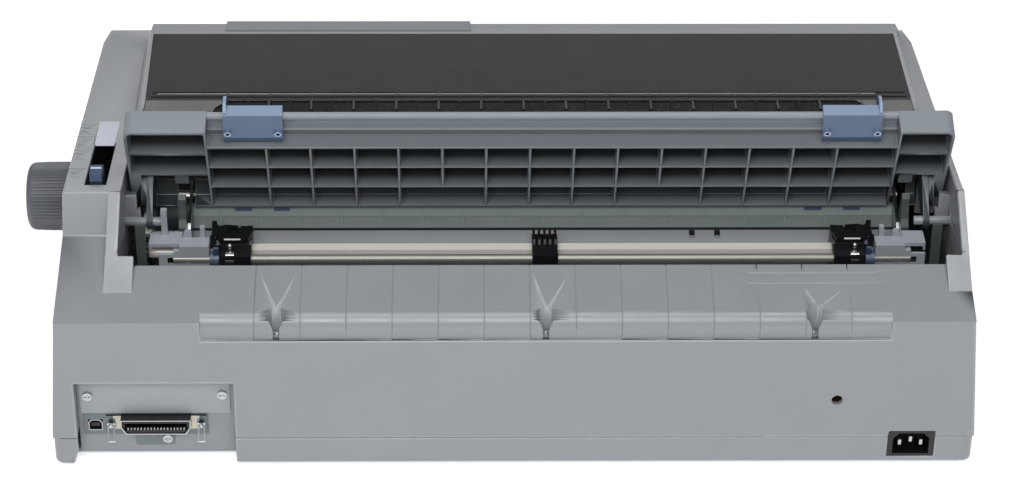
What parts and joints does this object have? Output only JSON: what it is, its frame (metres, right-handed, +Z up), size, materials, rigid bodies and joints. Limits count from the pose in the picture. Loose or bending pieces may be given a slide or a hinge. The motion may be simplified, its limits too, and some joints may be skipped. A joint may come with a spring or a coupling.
{
  "type": "dot matrix printer",
  "caption": "Wide-carriage dot matrix printer with a raised ribbed paper guide, rear push tractors, smoked cover, platen knob and rear sockets.",
  "frame": {"origin": "on the table under the middle of the printer's overall box", "axes": "+X along the carriage to the platen knob, +Y to the rear with the sockets, +Z up"},
  "size_m": [0.6334, 0.402, 0.2121],
  "materials": {
    "case_plastic": "light grey moulded plastic with a fine texture",
    "guide_plastic": "mid grey moulded plastic with a fine texture",
    "pale_plastic": "pale grey moulded plastic",
    "green_plastic": "grey green moulded plastic",
    "dark_plastic": "charcoal moulded plastic",
    "black_plastic": "black moulded plastic",
    "knob_plastic": "dark grey moulded plastic",
    "panel_plastic": "darker grey moulded plastic",
    "blue_plastic": "soft blue moulded plastic",
    "deep_blue_plastic": "deep blue moulded plastic",
    "smoked_plastic": "smoked translucent plastic",
    "natural_plastic": "off-white gear plastic",
    "board": "green lacquered circuit board",
    "brown_board": "brown power circuit board",
    "plated_steel": "zinc plated sheet steel and turned steel",
    "zinc_sheet": "passivated zinc plated sheet",
    "pale_metal": "grey painted sheet",
    "dark_metal": "dark painted motor housing",
    "bar_metal": "drawn aluminium bar",
    "rubber": "black rubber"
  },
  "bodies": {
    "base": {"lower_case": "case_plastic", "upper_case": "case_plastic", "rubber_feet": "rubber", "case_screws": "plated_steel", "interface_panel": "case_plastic", "option_plate": "pale_metal", "connector_plate": "zinc_sheet", "panel_screws": "plated_steel", "usb_socket": "plated_steel", "parallel_connector": "plated_steel", "parallel_contacts": "black_plastic", "power_inlet": "black_plastic", "inlet_pins": "plated_steel", "main_board": "board", "power_board": "brown_board", "side_frames": "plated_steel", "rear_frame": "green_plastic", "guide_plate": "case_plastic", "carriage_shaft": "plated_steel", "front_rail": "plated_steel", "feed_motor": "dark_metal", "carriage_motor": "dark_metal", "carriage_belt": "rubber", "ribbon_cartridge": "black_plastic", "tractor_holders": "pale_plastic", "tractor_rod": "plated_steel", "control_panel": "panel_plastic"},
    "cover": {"printer_cover": "case_plastic", "cover_window": "smoked_plastic", "exit_strip": "black_plastic"},
    "guide": {"paper_guide": "guide_plastic"},
    "edge_guide_a": {"edge_guide_left": "blue_plastic"},
    "edge_guide_b": {"edge_guide_right": "blue_plastic"},
    "tractor_a": {"tractor_left": "black_plastic"},
    "tractor_b": {"tractor_right": "black_plastic"},
    "tractor_lid_a": {"tractor_flap_left": "black_plastic"},
    "tractor_lid_b": {"tractor_flap_right": "black_plastic"},
    "tractor_lever_a": {"tractor_lock_left": "deep_blue_plastic"},
    "tractor_lever_b": {"tractor_lock_right": "deep_blue_plastic"},
    "paper_support": {"centre_support": "black_plastic"},
    "platen": {"platen_roller": "rubber", "platen_shaft": "plated_steel", "platen_gear": "pale_plastic", "platen_knob": "knob_plastic"},
    "pinion": {"feed_pinion": "natural_plastic"},
    "idler": {"idler_gear": "natural_plastic"},
    "drive_bar": {"tractor_drive_bar": "bar_metal"},
    "head_carriage": {"carriage": "dark_plastic", "print_head": "dark_metal"},
    "pulley_a": {"drive_pulley": "pale_plastic"},
    "pulley_b": {"idler_pulley": "pale_plastic"},
    "paper_release": {"release_lever": "deep_blue_plastic"},
    "thickness": {"thickness_lever": "blue_plastic"},
    "key_a": {"button_pause": "pale_plastic"},
    "key_b": {"button_load": "pale_plastic"},
    "key_c": {"button_feed": "pale_plastic"},
    "mains_switch": {"power_switch": "black_plastic"},
    "front_door": {"front_cover": "case_plastic"},
    "bail_a": {"bail_clip_a": "plated_steel"},
    "bail_b": {"bail_clip_b": "plated_steel"}
  },
  "joints": [
    {"name": "cover_lift", "type": "hinge", "parent": "base", "child": "cover", "pos_m": [-0.0133, 0.057, 0.183], "axis": [-1, 0, 0], "range_deg": [0, 75]},
    {"name": "guide_fold", "type": "hinge", "parent": "base", "child": "guide", "pos_m": [-0.0133, 0.098, 0.126], "axis": [-1, 0, 0], "range_deg": [0, 78]},
    {"name": "edge_guide_a_slide", "type": "slide", "parent": "guide", "child": "edge_guide_a", "axis": [-1, 0, 0], "range_m": [-0.009, 0.15]},
    {"name": "edge_guide_b_slide", "type": "slide", "parent": "guide", "child": "edge_guide_b", "axis": [1, 0, 0], "range_m": [-0.009, 0.15]},
    {"name": "tractor_a_slide", "type": "slide", "parent": "base", "child": "tractor_a", "axis": [-1, 0, 0], "range_m": [0, 0.15]},
    {"name": "tractor_b_slide", "type": "slide", "parent": "base", "child": "tractor_b", "axis": [1, 0, 0], "range_m": [0, 0.15]},
    {"name": "tractor_lid_a_hinge", "type": "hinge", "parent": "tractor_a", "child": "tractor_lid_a", "pos_m": [0.1869, 0.1005, 0.1202], "axis": [0, -1, 0], "range_deg": [-95, 0]},
    {"name": "tractor_lid_b_hinge", "type": "hinge", "parent": "tractor_b", "child": "tractor_lid_b", "pos_m": [-0.2519, 0.1005, 0.1202], "axis": [0, 1, 0], "range_deg": [-95, 0]},
    {"name": "tractor_lever_a_turn", "type": "hinge", "parent": "tractor_a", "child": "tractor_lever_a", "pos_m": [0.1855, 0.117, 0.1085], "axis": [-1, 0, 0], "range_deg": [0, 40]},
    {"name": "tractor_lever_b_turn", "type": "hinge", "parent": "tractor_b", "child": "tractor_lever_b", "pos_m": [-0.2505, 0.117, 0.1085], "axis": [-1, 0, 0], "range_deg": [0, 40]},
    {"name": "paper_support_slide", "type": "slide", "parent": "base", "child": "paper_support", "axis": [1, 0, 0], "range_m": [-0.025, 0.025]},
    {"name": "platen_turn", "type": "hinge", "parent": "base", "child": "platen", "pos_m": [-0.0133, 0.0436, 0.1117], "axis": [1, 0, 0], "continuous": true},
    {"name": "pinion_turn", "type": "hinge", "parent": "base", "child": "pinion", "pos_m": [0.2327, 0.0306, 0.0892], "axis": [1, 0, 0], "continuous": true},
    {"name": "idler_turn", "type": "hinge", "parent": "base", "child": "idler", "pos_m": [0.2327, 0.07723, 0.102], "axis": [1, 0, 0], "continuous": true},
    {"name": "drive_bar_turn", "type": "hinge", "parent": "base", "child": "drive_bar", "pos_m": [-0.0133, 0.104, 0.1055], "axis": [1, 0, 0], "continuous": true},
    {"name": "carriage_travel", "type": "slide", "parent": "base", "child": "head_carriage", "axis": [1, 0, 0], "range_m": [-0.15, 0.15]},
    {"name": "pulley_a_turn", "type": "hinge", "parent": "base", "child": "pulley_a", "pos_m": [-0.24905, -0.038, 0.073], "axis": [0, 0, 1], "range_deg": [-960, 960]},
    {"name": "pulley_b_turn", "type": "hinge", "parent": "base", "child": "pulley_b", "pos_m": [0.18095, -0.038, 0.073], "axis": [0, 0, 1], "range_deg": [-960, 960]},
    {"name": "paper_release_turn", "type": "hinge", "parent": "base", "child": "paper_release", "pos_m": [0.2629, 0.071, 0.1], "axis": [1, 0, 0], "range_deg": [0, 39]},
    {"name": "thickness_turn", "type": "hinge", "parent": "base", "child": "thickness", "pos_m": [0.1952, -0.015, 0.088], "axis": [1, 0, 0], "range_deg": [-12, 12]},
    {"name": "key_a_press", "type": "slide", "parent": "base", "child": "key_a", "axis": [0, 0.6476, -0.7619], "range_m": [0, 0.0009], "stiffness_N_per_m": 300, "springref_m": -0.0005},
    {"name": "key_b_press", "type": "slide", "parent": "base", "child": "key_b", "axis": [0, 0.6476, -0.7619], "range_m": [0, 0.0009], "stiffness_N_per_m": 300, "springref_m": -0.0005},
    {"name": "key_c_press", "type": "slide", "parent": "base", "child": "key_c", "axis": [0, 0.6476, -0.7619], "range_m": [0, 0.0009], "stiffness_N_per_m": 300, "springref_m": -0.0005},
    {"name": "mains_switch_rock", "type": "hinge", "parent": "base", "child": "mains_switch", "pos_m": [-0.2753, -0.1922, 0.052], "axis": [1, 0, 0], "range_deg": [0, 12]},
    {"name": "front_door_drop", "type": "hinge", "parent": "base", "child": "front_door", "pos_m": [-0.0333, -0.1975, 0.038], "axis": [1, 0, 0], "range_deg": [0, 80]},
    {"name": "bail_a_swing", "type": "hinge", "parent": "base", "child": "bail_a", "pos_m": [0.252, 0.1934, 0.029], "axis": [1, 0, 0], "range_deg": [0, 100]},
    {"name": "bail_b_swing", "type": "hinge", "parent": "base", "child": "bail_b", "pos_m": [0.1928, 0.1934, 0.029], "axis": [1, 0, 0], "range_deg": [0, 100]}
  ],
  "couplings": [
    {"joint": "pinion_turn", "follows": "platen_turn", "ratio": -3.3333},
    {"joint": "idler_turn", "follows": "platen_turn", "ratio": -1.3333},
    {"joint": "drive_bar_turn", "follows": "platen_turn", "ratio": 1.6667},
    {"joint": "pulley_a_turn", "follows": "carriage_travel", "rad_per_m": -111.11},
    {"joint": "pulley_b_turn", "follows": "carriage_travel", "rad_per_m": -111.11}
  ]
}
